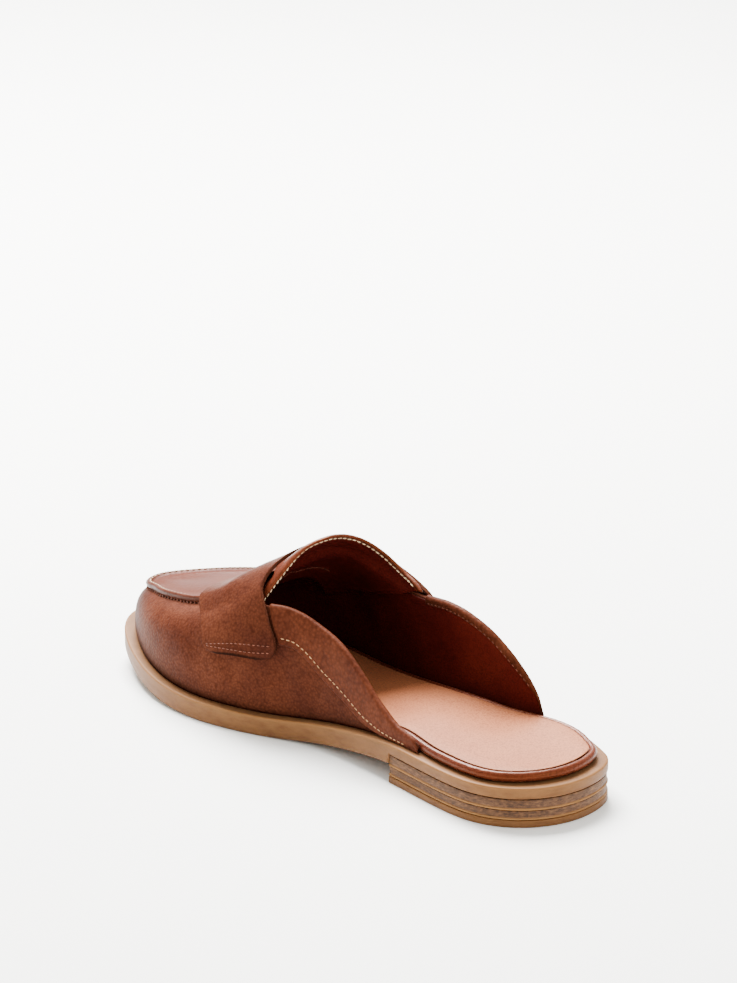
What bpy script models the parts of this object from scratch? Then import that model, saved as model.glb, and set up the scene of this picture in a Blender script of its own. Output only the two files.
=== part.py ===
"""Loafer mule, right shoe. Sizes are in millimetres; MM turns them to metres in the meshes.

+Y runs to the toe, +X to the lateral side, and the sole stands on z = 0.
A station t runs from 0 at the heel to 1 at the toe; v runs from 0 at the foot line to 1 at the ridge.
"""
import math
import bpy
import bmesh
import numpy as np
from mathutils import Vector

MM = 0.001

# Driving sizes of the last and the sole
LENGTH = 260.0
BALL_WIDTH = 88.3
HEEL_HEIGHT = 17.4
FOREPART_THICKNESS = 8.9
TOE_SPRING = 8.9
TOE_UNDERCUT = 1.6
SOLE_LAYER = 5.0
HEEL_BREAST = 80.6
SOLE_EDGE_BEVEL = 0.8
LIFT_UPPER = 4.8
LIFT_LOWER = 4.2
LIFT_INSET = 0.5
BEAD_HEIGHT = 0.9
SEAT_GAP = 0.3

# Driving sizes of the upper and what lies in it
INSTEP_HEIGHT = 88.0
WALL = 2.0
LEDGE = 3.4
LEDGE_TOE = 4.8
APRON_THICKNESS = 2.2
STRAP_THICKNESS = 1.5
COLLAR_THICKNESS = 1.2
TONGUE_THICKNESS = 1.8
TONGUE_TUCK = 3.0
CURVE_GAP = 0.4
FOOTBED_HEIGHT = 4.3
FOOTBED_ROLL = 3.5
FOOTBED_RECESS = 1.0
FOOTBED_CLEARANCE = 0.9
LINER_THICKNESS = 1.0
LINER_EDGE = 0.4

# Sole outline: share of length, medial and lateral half width as shares of the ball width
OUTLINE = (
    # along, medial, lateral
    (0.00, 0.034, -0.034),
    (0.02, 0.250, 0.181),
    (0.06, 0.377, 0.257),
    (0.12, 0.445, 0.317),
    (0.20, 0.436, 0.319),
    (0.30, 0.392, 0.315),
    (0.40, 0.356, 0.354),
    (0.50, 0.358, 0.417),
    (0.60, 0.440, 0.473),
    (0.70, 0.4985, 0.4985),
    (0.80, 0.479, 0.451),
    (0.88, 0.394, 0.360),
    (0.94, 0.292, 0.249),
    (0.98, 0.186, 0.138),
    (1.00, 0.018, -0.018),
)

# Sections of the last: ridge height as a share of the instep height, ridge offset as a share
# of the ball width, and the two powers that make the section round (1) or square (lower)
SECTIONS = (
    # along, height, offset, run, rise
    (0.18, 0.99, -0.01, 0.90, 0.95),
    (0.40, 0.98, -0.02, 0.90, 0.95),
    (0.50, 0.950, -0.02, 0.90, 0.95),
    (0.57, 0.880, -0.02, 0.85, 0.90),
    (0.64, 0.750, -0.01, 0.75, 0.76),
    (0.70, 0.605, 0.00, 0.68, 0.64),
    (0.77, 0.505, 0.00, 0.63, 0.53),
    (0.84, 0.450, 0.00, 0.64, 0.49),
    (0.90, 0.405, 0.00, 0.72, 0.53),
    (0.94, 0.380, 0.00, 0.80, 0.60),
    (1.00, 0.360, 0.00, 0.82, 0.62),
)
RIDGE_FAN = 0.66
RIDGE_PULL = 0.27

# Shares of the length between which the sole comes down from the heel seat, the toe rises,
# and the ledge widens at the toe and the heel
WAIST = (0.27, 0.60)
SPRING_START = 0.68
LEDGE_WIDENS_TOE = (0.85, 1.0)
LEDGE_WIDENS_HEEL = (0.10, 0.0)

# Top edge of the wall on each side: share of length, height v on the section
TOPLINE_MEDIAL = (
    # along, height
    (0.250, 0.030), (0.300, 0.048), (0.350, 0.112), (0.400, 0.210), (0.450, 0.302), (0.500, 0.370),
    (0.530, 0.412), (0.560, 0.445), (0.600, 0.475), (0.640, 0.640), (0.680, 1.000),
)
TOPLINE_LATERAL = (
    # along, height
    (0.186, 0.030), (0.195, 0.078), (0.210, 0.135), (0.232, 0.197), (0.260, 0.262), (0.288, 0.315),
    (0.318, 0.353), (0.350, 0.380), (0.385, 0.390), (0.430, 0.385), (0.480, 0.397), (0.540, 0.470),
    (0.600, 0.600), (0.650, 0.800), (0.680, 1.000),
)
TOPLINE_LEAST = 0.03
THROAT_START = {-1: 0.60, 1: 0.54}
COLLAR_REACH = {-1: 0.56, 1: 0.44}

# The footbed narrows between these shares of length ahead of each end of the wall
FOOTBED_NARROWS = (-0.035, -0.008)

# Lower edge of each collar band
COLLAR_LOW_MEDIAL = (
    # along, height
    (0.250, 0.000), (0.330, 0.002), (0.378, 0.022), (0.430, 0.087), (0.478, 0.157), (0.520, 0.242),
    (0.540, 0.270), (0.600, 0.285),
)
COLLAR_LOW_LATERAL = (
    # along, height
    (0.186, 0.000), (0.205, 0.002), (0.240, 0.080), (0.290, 0.170), (0.340, 0.235), (0.400, 0.262),
    (0.470, 0.262),
)

# Edge of the apron plug
APRON_EDGE = (
    # along, height
    (0.66, 0.680), (0.75, 0.660), (0.84, 0.630), (0.92, 0.560), (1.00, 0.520),
)
APRON_BACK = 0.685

# The strap comes up on the apron between these shares: outside its edge, and behind its back end
STRAP_CLIMB = (0.02, 0.09)
STRAP_STEP = (-0.05, -0.012)

# Strap: place across the shoe (1 - v, less than 0 on the medial side), front and back share of length
STRAP = (
    # across, front, back
    (-0.81, 0.672, 0.590),
    (-0.79, 0.688, 0.568),
    (-0.75, 0.699, 0.563),
    (-0.62, 0.713, 0.583),
    (-0.49, 0.731, 0.606),
    (-0.39, 0.746, 0.605),
    (-0.30, 0.756, 0.596),
    (-0.15, 0.763, 0.588),
    (0.00, 0.765, 0.582),
    (0.15, 0.757, 0.571),
    (0.30, 0.738, 0.545),
    (0.40, 0.704, 0.512),
    (0.50, 0.668, 0.485),
    (0.57, 0.640, 0.465),
    (0.62, 0.622, 0.436),
    (0.70, 0.594, 0.420),
    (0.75, 0.580, 0.413),
    (0.79, 0.566, 0.418),
    (0.81, 0.548, 0.440),
)

# Tongue: place across the shoe and the share of length of its free edge
TONGUE = (
    # across, edge
    (-0.60, 0.612),
    (-0.51, 0.604),
    (-0.43, 0.591),
    (-0.35, 0.577),
    (-0.26, 0.564),
    (-0.18, 0.550),
    (-0.10, 0.537),
    (0.00, 0.531),
    (0.20, 0.531),
    (0.35, 0.529),
    (0.42, 0.524),
    (0.50, 0.502),
    (0.57, 0.476),
    (0.61, 0.450),
    (0.68, 0.436),
)
TONGUE_FRONT = 0.705
THROAT_MARGIN = 0.035

# Mesh steps
SOLE_STEPS = 44
UPPER_STEPS = 40
UPPER_ROWS = 12


def table(rows, column):
    """Smooth curve through one column of a table, without overshoot, by the first column."""
    xs = [row[0] for row in rows]
    ys = [row[column] for row in rows]
    last = len(xs) - 1
    steps = [xs[i + 1] - xs[i] for i in range(last)]
    rises = [(ys[i + 1] - ys[i]) / steps[i] for i in range(last)]
    slopes = [rises[0]] + [0.0] * (last - 1) + [rises[-1]]
    for i in range(1, last):
        if rises[i - 1] * rises[i] > 0:
            near = 2 * steps[i] + steps[i - 1]
            far = steps[i] + 2 * steps[i - 1]
            slopes[i] = (near + far) / (near / rises[i - 1] + far / rises[i])

    def value(x):
        x = min(max(x, xs[0]), xs[-1])
        i = max(k for k in range(last) if xs[k] <= x)
        s = (x - xs[i]) / steps[i]
        start = ys[i] * (1 + 2 * s) * (1 - s) ** 2 + slopes[i] * steps[i] * s * (1 - s) ** 2
        end = ys[i + 1] * s * s * (3 - 2 * s) + slopes[i + 1] * steps[i] * s * s * (s - 1)
        return start + end

    return value


def spline(rows, column):
    """Natural cubic curve through one column of a table, for a form without kinks."""
    xs = np.array([row[0] for row in rows])
    ys = np.array([row[column] for row in rows])
    gaps = np.diff(xs)
    rises = np.diff(ys) / gaps
    system = np.eye(len(xs))
    right = np.zeros(len(xs))
    for i in range(1, len(xs) - 1):
        system[i, i - 1:i + 2] = gaps[i - 1], 2 * (gaps[i - 1] + gaps[i]), gaps[i]
        right[i] = 6 * (rises[i] - rises[i - 1])
    bends = np.linalg.solve(system, right)

    def value(x):
        x = min(max(x, xs[0]), xs[-1])
        i = min(int(np.searchsorted(xs, x, side="right")) - 1, len(gaps) - 1)
        near = (xs[i + 1] - x) / gaps[i]
        far = (x - xs[i]) / gaps[i]
        bend = (near ** 3 - near) * bends[i] + (far ** 3 - far) * bends[i + 1]
        return float(near * ys[i] + far * ys[i + 1] + bend * gaps[i] ** 2 / 6)

    return value


def smooth(start, end, x):
    """0 before start, 1 after end, smooth between."""
    s = min(max((x - start) / (end - start), 0.0), 1.0)
    return s * s * (3 - 2 * s)


def y_at(t):
    return -0.5 * LENGTH * math.cos(math.pi * t)


def t_at(along):
    """Station of a share of the length."""
    return math.acos(1 - 2 * min(max(along, 0.0), 1.0)) / math.pi


def share(y):
    return y / LENGTH + 0.5


STATIONS = tuple((t_at(row[0]), row[1], row[2]) for row in OUTLINE)
medial_half = spline(STATIONS, 1)
lateral_half = spline(STATIONS, 2)
ridge_height = spline(SECTIONS, 1)
ridge_offset = spline(SECTIONS, 2)
run_power = spline(SECTIONS, 3)
rise_power = spline(SECTIONS, 4)
top_medial = table(TOPLINE_MEDIAL, 1)
top_lateral = table(TOPLINE_LATERAL, 1)
low_medial = table(COLLAR_LOW_MEDIAL, 1)
low_lateral = table(COLLAR_LOW_LATERAL, 1)
apron_edge = table(APRON_EDGE, 1)
strap_front = table(STRAP, 1)
strap_back = table(STRAP, 2)
tongue_edge = table(TONGUE, 1)


def sole_edge(t, side, inset=0.0):
    """Point on the sole's outline at station t, moved in by inset."""
    def outline(station):
        half = medial_half(station) if side < 0 else lateral_half(station)
        return Vector((side * half * BALL_WIDTH, y_at(station)))

    step = 0.004
    if t < step:
        along = Vector((side, 0.0))
    elif t > 1 - step:
        along = Vector((-side, 0.0))
    else:
        along = (outline(t + step / 2) - outline(t - step / 2)).normalized()
    return outline(t) + inset * side * Vector((-along.y, along.x))


def waist_fall(y):
    """How far the sole has come down from the heel seat, 0 to 1."""
    return smooth(*WAIST, share(y))


def toe_rise(y):
    """How far the toe has sprung up from the floor, 0 to 1."""
    return max(0.0, (share(y) - SPRING_START) / (1 - SPRING_START)) ** 2


def ledge_z(y):
    """Top of the sole's edge."""
    spring = toe_rise(y)
    return HEEL_HEIGHT + (FOREPART_THICKNESS - HEEL_HEIGHT) * waist_fall(y) + TOE_SPRING * spring


def bottom_z(y):
    """Underside of the sole in front of the heel breast."""
    spring = toe_rise(y)
    return (HEEL_HEIGHT - FOREPART_THICKNESS) * (1 - waist_fall(y)) + (TOE_SPRING + TOE_UNDERCUT) * spring


def ledge_width(y):
    at_an_end = max(smooth(*LEDGE_WIDENS_TOE, share(y)), smooth(*LEDGE_WIDENS_HEEL, share(y)))
    return LEDGE + (LEDGE_TOE - LEDGE) * at_an_end


def last_point(t, v, side):
    """Point on the outer face of the last."""
    foot = sole_edge(t, side, ledge_width(y_at(t)))
    start = (RIDGE_FAN - 0.5) * LENGTH
    reach = LENGTH / 2 - start
    passed = max((y_at(t) - start) / reach, 0.0)
    ridge_y = y_at(t) if passed == 0 else start + reach * (passed - RIDGE_PULL * passed * passed)
    along = share(ridge_y)
    ridge = Vector((ridge_offset(along) * BALL_WIDTH, ridge_y))
    turn = min(max(v, 0.0), 1.0) * math.pi / 2
    run = math.cos(turn) ** run_power(along) if v < 1 else 0.0
    rise = math.sin(turn) ** rise_power(along) if v > 0 else 0.0
    foot_z = ledge_z(foot.y) + SEAT_GAP
    place = ridge + (foot - ridge) * run
    return Vector((place.x, place.y, foot_z + (ridge_height(along) * INSTEP_HEIGHT - foot_z) * rise))


def lifted(t, v, side, lift):
    """Point at a distance from the last's face, outwards."""
    step = 0.006
    before = max(t - step, 0.001)
    after = min(t + step, 0.999)
    lower = max(v - step, 0.004)
    upper = min(v + step, 1.0)
    outward = Vector((0.0, 0.0, 0.0))
    for way in (-1, 1) if v > 0.999 or t > 0.999 else (side,):
        along = last_point(after, v, way) - last_point(before, v, way)
        over = last_point(t, upper, way) - last_point(t, lower, way)
        outward += along.cross(over).normalized() * way
    return last_point(t, v, side) + outward.normalized() * lift


def across_point(across, along, lift):
    """Point on the last by its place across the shoe and its share of the length."""
    side = -1 if across < 0 else 1
    return lifted(t_at(along), 1 - abs(across), side, lift)


def material(name, colour, roughness):
    made = bpy.data.materials.new(name)
    made.use_nodes = True
    shader = made.node_tree.nodes["Principled BSDF"]
    shader.inputs["Base Color"].default_value = (*colour, 1.0)
    shader.inputs["Roughness"].default_value = roughness
    shader.inputs["Metallic"].default_value = 0.0
    return made


def new_object(name, mesh, finish, collection):
    made = bpy.data.objects.new(name, mesh)
    made.data.materials.append(finish)
    collection.objects.link(made)
    mesh.shade_smooth()
    return made


def mesh_from_grid(grid, closed):
    """Mesh through rows of points; points that coincide are joined. closed joins each row's ends."""
    work = bmesh.new()
    rows = [[work.verts.new(point * MM) for point in row] for row in grid]
    for row, following in zip(rows, rows[1:]):
        count = len(row) if closed else len(row) - 1
        for k in range(count):
            after = (k + 1) % len(row)
            work.faces.new((row[k], row[after], following[after], following[k]))
    return work


def finish_mesh(work, name):
    bmesh.ops.remove_doubles(work, verts=work.verts, dist=1e-6)
    bmesh.ops.recalc_face_normals(work, faces=work.faces)
    mesh = bpy.data.meshes.new(name)
    work.to_mesh(mesh)
    work.free()
    return mesh


def sheet(name, grid, thickness, outward, finish, collection):
    """Open sheet through a grid of points, with a wall of even thickness."""
    work = mesh_from_grid(grid, closed=False)
    bmesh.ops.remove_doubles(work, verts=work.verts, dist=1e-6)
    bmesh.ops.recalc_face_normals(work, faces=work.faces)
    top = max(work.faces, key=lambda face: face.calc_center_median().z)
    if top.normal.z < 0:
        bmesh.ops.reverse_faces(work, faces=work.faces)
    mesh = bpy.data.meshes.new(name)
    work.to_mesh(mesh)
    work.free()
    made = new_object(name, mesh, finish, collection)
    wall = made.modifiers.new("wall", "SOLIDIFY")
    wall.thickness = thickness * MM
    wall.offset = 1.0 if outward else -1.0
    wall.use_even_offset = True
    wall.use_quality_normals = True
    return made


def sole_solid(name, stations, profile, finish, collection):
    """Solid with the sole's outline; profile gives (inset, z function) from bottom to top for a side."""
    grid = []
    for t in stations:
        ring = []
        for side in (-1, 1):
            points = []
            for inset, height in profile(t, side):
                place = sole_edge(t, side, inset)
                points.append(Vector((place.x, place.y, height(place.y))))
            ring += points if side < 0 else points[::-1]
        grid.append(ring)
    work = mesh_from_grid(grid, closed=True)
    if stations[-1] < 1:
        work.verts.ensure_lookup_table()
        work.faces.new(work.verts[-len(grid[-1]):])
    return new_object(name, finish_mesh(work, name), finish, collection)


def even(start, end, count):
    return [start + (end - start) * k / count for k in range(count + 1)]


def outsole(finish, collection):
    breast = t_at(HEEL_BREAST / LENGTH)
    step = 0.0012
    heel = even(0.0, breast, round(SOLE_STEPS * 0.35))
    front = even(breast + step, 1.0, round(SOLE_STEPS * 0.75))

    def profile(t, side):
        def low(y):
            return HEEL_HEIGHT - SOLE_LAYER if t <= breast else bottom_z(y)
        bevel = SOLE_EDGE_BEVEL + TOE_UNDERCUT * smooth(0.80, 1.0, share(y_at(t)))
        return (
            (bevel, low),
            (0.0, lambda y: low(y) + SOLE_EDGE_BEVEL),
            (0.0, lambda y: ledge_z(y) - SOLE_EDGE_BEVEL / 2),
            (SOLE_EDGE_BEVEL / 2, ledge_z),
        )

    return sole_solid("outsole", heel + front, profile, finish, collection)


def heel_layer(name, top, bottom, beaded, finish, collection):
    """One layer of the heel stack, with a thin bead round its foot."""
    end = t_at((HEEL_BREAST - SEAT_GAP) / LENGTH)

    def profile(t, side):
        wall = LIFT_INSET if beaded else 0.0
        bead = bottom + BEAD_HEIGHT
        return (
            (LIFT_INSET, lambda y: bottom),
            (0.0, lambda y: bottom + LIFT_INSET),
            (0.0, lambda y: bead),
            (wall, lambda y: bead + LIFT_INSET),
            (wall, lambda y: top),
        )

    return sole_solid(name, even(0.0, end, round(SOLE_STEPS * 0.35)), profile, finish, collection)


def footbed_inset(t, side):
    """The footbed is wide where its rim shows and narrow inside the upper's wall."""
    along = share(y_at(t))
    end = (TOPLINE_MEDIAL if side < 0 else TOPLINE_LATERAL)[0][0]
    ledge = ledge_width(y_at(t))
    start, stop = FOOTBED_NARROWS
    return ledge + (WALL + FOOTBED_CLEARANCE) * smooth(end + start, end + stop, along)


def footbed(finish, collection):
    def profile(t, side):
        edge = footbed_inset(t, side)

        def above(height):
            return lambda y: ledge_z(y) + SEAT_GAP + height
        return (
            (edge + 0.25 * FOOTBED_ROLL, above(0.0)),
            (edge, above(0.3 * FOOTBED_HEIGHT)),
            (edge, above(0.6 * FOOTBED_HEIGHT)),
            (edge + 0.2 * FOOTBED_ROLL, above(0.9 * FOOTBED_HEIGHT)),
            (edge + 0.5 * FOOTBED_ROLL, above(FOOTBED_HEIGHT)),
            (edge + 0.9 * FOOTBED_ROLL, above(0.92 * FOOTBED_HEIGHT)),
            (edge + FOOTBED_ROLL, above(FOOTBED_HEIGHT - FOOTBED_RECESS)),
        )

    return sole_solid("footbed", even(0.0, 1.0, SOLE_STEPS), profile, finish, collection)


def sock_liner(finish, collection):
    def profile(t, side):
        edge = footbed_inset(t, side) + FOOTBED_ROLL + SEAT_GAP
        seat = SEAT_GAP * 2 + FOOTBED_HEIGHT - FOOTBED_RECESS
        return (
            (edge, lambda y: ledge_z(y) + seat),
            (edge, lambda y: ledge_z(y) + seat + LINER_THICKNESS - LINER_EDGE),
            (edge + LINER_EDGE, lambda y: ledge_z(y) + seat + LINER_THICKNESS),
        )

    return sole_solid("sock_liner", even(0.0, 1.0, SOLE_STEPS), profile, finish, collection)


def topline(t, side):
    along = share(y_at(t))
    height = top_medial(along) if side < 0 else top_lateral(along)
    return max(height, TOPLINE_LEAST)


def upper(finish, collection):
    """One hollow wall: foot line to topline, from the medial end round the toe to the lateral end."""
    joined = t_at(TOPLINE_MEDIAL[-1][0])
    front = even(joined, 1.0, round(UPPER_STEPS * 0.45))
    columns = []
    for side, tops in ((-1, TOPLINE_MEDIAL), (1, TOPLINE_LATERAL)):
        throat = t_at(THROAT_START[side])
        wing = even(t_at(tops[0][0]), throat, round(UPPER_STEPS * 0.35))
        run = wing[:-1] + even(throat, joined, round(UPPER_STEPS * 0.20))[:-1] + front
        columns += [(t, side) for t in (run if side < 0 else run[::-1])]
    grid = []
    for t, side in columns:
        top = topline(t, side)
        rows = [(k / UPPER_ROWS) ** 1.15 for k in range(UPPER_ROWS + 1)]
        grid.append([last_point(t, top * row, side) for row in rows])
    return sheet("upper", grid, WALL, False, finish, collection)


def apron(finish, collection):
    """Raised plug on the toe, which runs back under the strap."""
    stations = even(t_at(APRON_BACK), 1.0, 16)
    grid = []
    for t, side in [(t, -1) for t in stations] + [(t, 1) for t in stations[::-1]]:
        edge = apron_edge(share(y_at(t)))
        grid.append([lifted(t, edge + (1 - edge) * k / 6, side, SEAT_GAP) for k in range(7)])
    return sheet("apron", grid, APRON_THICKNESS, True, finish, collection)


def strap_lift(across, along):
    """The strap lies on the wall at its sides and on the apron over the top."""
    edge = 1 - apron_edge(along)
    over = 1 - smooth(edge + STRAP_CLIMB[0], edge + STRAP_CLIMB[1], abs(across))
    before = smooth(APRON_BACK + STRAP_STEP[0], APRON_BACK + STRAP_STEP[1], along)
    return SEAT_GAP + (APRON_THICKNESS + SEAT_GAP) * over * before


def strap(finish, collection):
    grid = []
    for across in even(STRAP[0][0], STRAP[-1][0], 34):
        front = strap_front(across)
        back = strap_back(across)
        row = [back + (front - back) * k / 9 for k in range(10)]
        grid.append([across_point(across, along, strap_lift(across, along)) for along in row])
    return sheet("strap", grid, STRAP_THICKNESS, True, finish, collection)


def tongue(finish, collection):
    """The tongue is tucked under the wall and comes up through the throat."""
    grid = []
    for across in even(TONGUE[0][0], TONGUE[-1][0], 30):
        side = -1 if across < 0 else 1
        edge = tongue_edge(across)
        row = []
        for k in range(11):
            along = edge + (TONGUE_FRONT - edge) * k / 10
            ahead = topline(t_at(along + THROAT_MARGIN), side)
            free = smooth(ahead + 0.04, ahead + 0.20, 1 - abs(across))
            row.append(across_point(across, along, -TONGUE_TUCK * (1 - free)))
        grid.append(row)
    return sheet("tongue", grid, TONGUE_THICKNESS, False, finish, collection)


def collar(name, side, finish, collection):
    """Band along a topline, from its end to the strap."""
    tops = TOPLINE_MEDIAL if side < 0 else TOPLINE_LATERAL
    low = low_medial if side < 0 else low_lateral
    start = tops[0][0]
    reach = COLLAR_REACH[side]
    grid = []
    for k in range(23):
        row = []
        for j in range(5):
            rise = j / 4
            height = low(reach) + (topline(t_at(reach), side) - low(reach)) * rise
            end = strap_back(side * (1 - height)) - CURVE_GAP / LENGTH * 2
            along = start + (end - start) * k / 22
            t = t_at(along)
            v = low(along) + (topline(t, side) - low(along)) * rise
            row.append(lifted(t, v, side, SEAT_GAP))
        grid.append(row)
    return sheet(name, grid, COLLAR_THICKNESS, True, finish, collection)


def main():
    for old in list(bpy.data.objects):
        bpy.data.objects.remove(old, do_unlink=True)
    collection = bpy.data.collections.new("loafer_mule")
    bpy.context.scene.collection.children.link(collection)

    leather = material("upper_leather", (0.25, 0.08, 0.04), 0.45)
    collar_leather = material("collar_leather", (0.28, 0.10, 0.05), 0.5)
    liner = material("sock_liner_leather", (0.70, 0.47, 0.36), 0.6)
    rubber = material("sole_rubber", (0.42, 0.22, 0.10), 0.5)
    stacked = material("stacked_heel", (0.22, 0.13, 0.08), 0.6)

    outsole(rubber, collection)
    seat = HEEL_HEIGHT - SOLE_LAYER
    lower_top = seat - LIFT_UPPER
    piece_top = lower_top - LIFT_LOWER
    heel_layer("heel_lift_upper", seat - SEAT_GAP, lower_top, True, stacked, collection)
    heel_layer("heel_lift_lower", lower_top - SEAT_GAP, piece_top, True, stacked, collection)
    heel_layer("heel_top_piece", piece_top - SEAT_GAP, 0.0, False, rubber, collection)
    footbed(leather, collection)
    sock_liner(liner, collection)
    upper(leather, collection)
    apron(leather, collection)
    strap(leather, collection)
    tongue(leather, collection)
    collar("collar_medial", -1, collar_leather, collection)
    collar("collar_lateral", 1, collar_leather, collection)


main()
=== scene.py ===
"""Loafer mule, right shoe: the looks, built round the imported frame.

Sizes inside the functions are in millimetres, and MM turns them to metres in the meshes.
A place on the last is (across, along): across is 0 on the ridge, -1 at the medial foot line and
1 at the lateral one; along is a share of the sole's length from the heel.
"""

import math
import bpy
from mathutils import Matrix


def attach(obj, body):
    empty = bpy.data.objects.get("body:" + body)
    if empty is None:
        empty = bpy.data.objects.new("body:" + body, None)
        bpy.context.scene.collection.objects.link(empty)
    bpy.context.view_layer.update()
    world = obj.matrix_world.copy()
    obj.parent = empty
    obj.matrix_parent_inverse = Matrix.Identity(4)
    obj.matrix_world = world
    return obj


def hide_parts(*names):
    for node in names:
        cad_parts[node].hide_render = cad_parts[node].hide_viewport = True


bl_info = {
    "name": "Loafer Mule",
    "version": (1, 0, 0),
    "blender": (4, 5, 0),
    "location": "View3D > Sidebar > Loafer Mule",
    "description": "Leather, lining, thread and rubber of a loafer mule",
    "category": "Object",
}

import bmesh
import bpy
import numpy as np
from bpy.props import FloatProperty, PointerProperty, StringProperty
from mathutils import Matrix, Vector

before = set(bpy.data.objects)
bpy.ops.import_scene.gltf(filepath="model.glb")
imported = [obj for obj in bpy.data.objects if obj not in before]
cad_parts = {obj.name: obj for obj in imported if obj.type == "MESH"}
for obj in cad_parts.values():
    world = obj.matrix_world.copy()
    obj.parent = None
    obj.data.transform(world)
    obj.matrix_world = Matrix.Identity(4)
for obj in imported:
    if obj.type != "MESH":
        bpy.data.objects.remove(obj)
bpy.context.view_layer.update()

MM = 0.001
PHOTO_HEIGHT = 983

# Sole outline: share of length, medial and lateral half width as shares of the ball width
OUTLINE = (
    (0.00, 0.034, -0.034), (0.02, 0.250, 0.181), (0.06, 0.377, 0.257), (0.12, 0.445, 0.317),
    (0.20, 0.436, 0.319), (0.30, 0.392, 0.315), (0.40, 0.356, 0.354), (0.50, 0.358, 0.417),
    (0.60, 0.440, 0.473), (0.70, 0.4985, 0.4985), (0.80, 0.479, 0.451), (0.88, 0.394, 0.360),
    (0.94, 0.292, 0.249), (0.98, 0.186, 0.138), (1.00, 0.018, -0.018),
)

# Sections of the last: along, ridge height, ridge offset, run power, rise power
SECTIONS = (
    (0.18, 0.99, -0.01, 0.90, 0.95), (0.40, 0.98, -0.02, 0.90, 0.95), (0.50, 0.950, -0.02, 0.90, 0.95),
    (0.57, 0.880, -0.02, 0.85, 0.90), (0.64, 0.750, -0.01, 0.75, 0.76), (0.70, 0.605, 0.00, 0.68, 0.64),
    (0.77, 0.505, 0.00, 0.63, 0.53), (0.84, 0.450, 0.00, 0.64, 0.49), (0.90, 0.405, 0.00, 0.72, 0.53),
    (0.94, 0.380, 0.00, 0.80, 0.60), (1.00, 0.360, 0.00, 0.82, 0.62),
)
RIDGE_FAN = 0.66
RIDGE_PULL = 0.27

# Top edge of the wall: along, height v on the section
TOPLINE_MEDIAL = (
    (0.250, 0.030), (0.300, 0.048), (0.350, 0.112), (0.400, 0.210), (0.450, 0.302), (0.500, 0.370),
    (0.530, 0.412), (0.560, 0.445), (0.600, 0.475), (0.640, 0.640), (0.680, 1.000),
)
TOPLINE_LATERAL = (
    (0.186, 0.030), (0.195, 0.078), (0.210, 0.135), (0.232, 0.197), (0.260, 0.262), (0.288, 0.315),
    (0.318, 0.353), (0.350, 0.380), (0.385, 0.390), (0.430, 0.385), (0.480, 0.397), (0.540, 0.470),
    (0.600, 0.600), (0.650, 0.800), (0.680, 1.000),
)
COLLAR_LOW_MEDIAL = (
    (0.250, 0.000), (0.330, 0.002), (0.378, 0.022), (0.430, 0.087), (0.478, 0.157), (0.520, 0.242),
    (0.540, 0.270), (0.600, 0.285),
)
COLLAR_LOW_LATERAL = (
    (0.186, 0.000), (0.205, 0.002), (0.240, 0.080), (0.290, 0.170), (0.340, 0.235), (0.400, 0.262),
    (0.470, 0.262),
)
APRON_EDGE = ((0.66, 0.680), (0.75, 0.660), (0.84, 0.630), (0.92, 0.560), (1.00, 0.520))
APRON_BACK = 0.685
APRON_TURN_IN = 2.0

# Strap: across, front and back along
STRAP = (
    (-0.797, 0.672, 0.590), (-0.780, 0.688, 0.568), (-0.75, 0.699, 0.563), (-0.62, 0.713, 0.583),
    (-0.49, 0.731, 0.604), (-0.39, 0.746, 0.617), (-0.30, 0.756, 0.620), (-0.15, 0.763, 0.615),
    (0.00, 0.765, 0.608), (0.15, 0.757, 0.597), (0.30, 0.738, 0.575), (0.40, 0.704, 0.545),
    (0.50, 0.668, 0.500), (0.57, 0.640, 0.458), (0.62, 0.622, 0.434), (0.70, 0.594, 0.420),
    (0.75, 0.580, 0.413), (0.79, 0.566, 0.418), (0.81, 0.548, 0.440),
)
# Tongue: across, free edge along, how far that edge stands off the last in mm
TONGUE = (
    (-0.60, 0.630, -2.8), (-0.51, 0.624, -1.9), (-0.43, 0.612, -0.8), (-0.35, 0.601, 0.4),
    (-0.26, 0.590, 1.6), (-0.18, 0.581, 2.6), (-0.10, 0.573, 3.0), (0.00, 0.564, 2.9),
    (0.10, 0.558, 2.4), (0.20, 0.550, 1.9), (0.30, 0.538, 1.6), (0.40, 0.518, 1.3),
    (0.50, 0.485, 0.6), (0.545, 0.456, -0.3), (0.575, 0.440, -1.2),
)
TONGUE_FRONT = 0.705
TONGUE_SPREAD = 0.10
TONGUE_STAND = 0.045
THROAT_MARGIN = 0.035
TONGUE_TUCK = 3.0

# Creases of the worn-in leather: start (across, along), end (across, along), width and depth in mm
CREASES = (
    (-0.86, 0.700, -0.62, 0.755, 5.0, 0.45),
    (-0.88, 0.640, -0.72, 0.690, 4.0, 0.40),
    (-0.90, 0.560, -0.74, 0.545, 4.5, 0.50),
    (-0.92, 0.500, -0.80, 0.470, 4.0, 0.40),
    (0.86, 0.660, 0.62, 0.720, 5.0, 0.45),
    (0.90, 0.560, 0.72, 0.590, 4.5, 0.45),
    (0.88, 0.470, 0.74, 0.440, 4.5, 0.40),
    (-0.20, 0.800, 0.20, 0.790, 5.0, 0.30),
)


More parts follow.
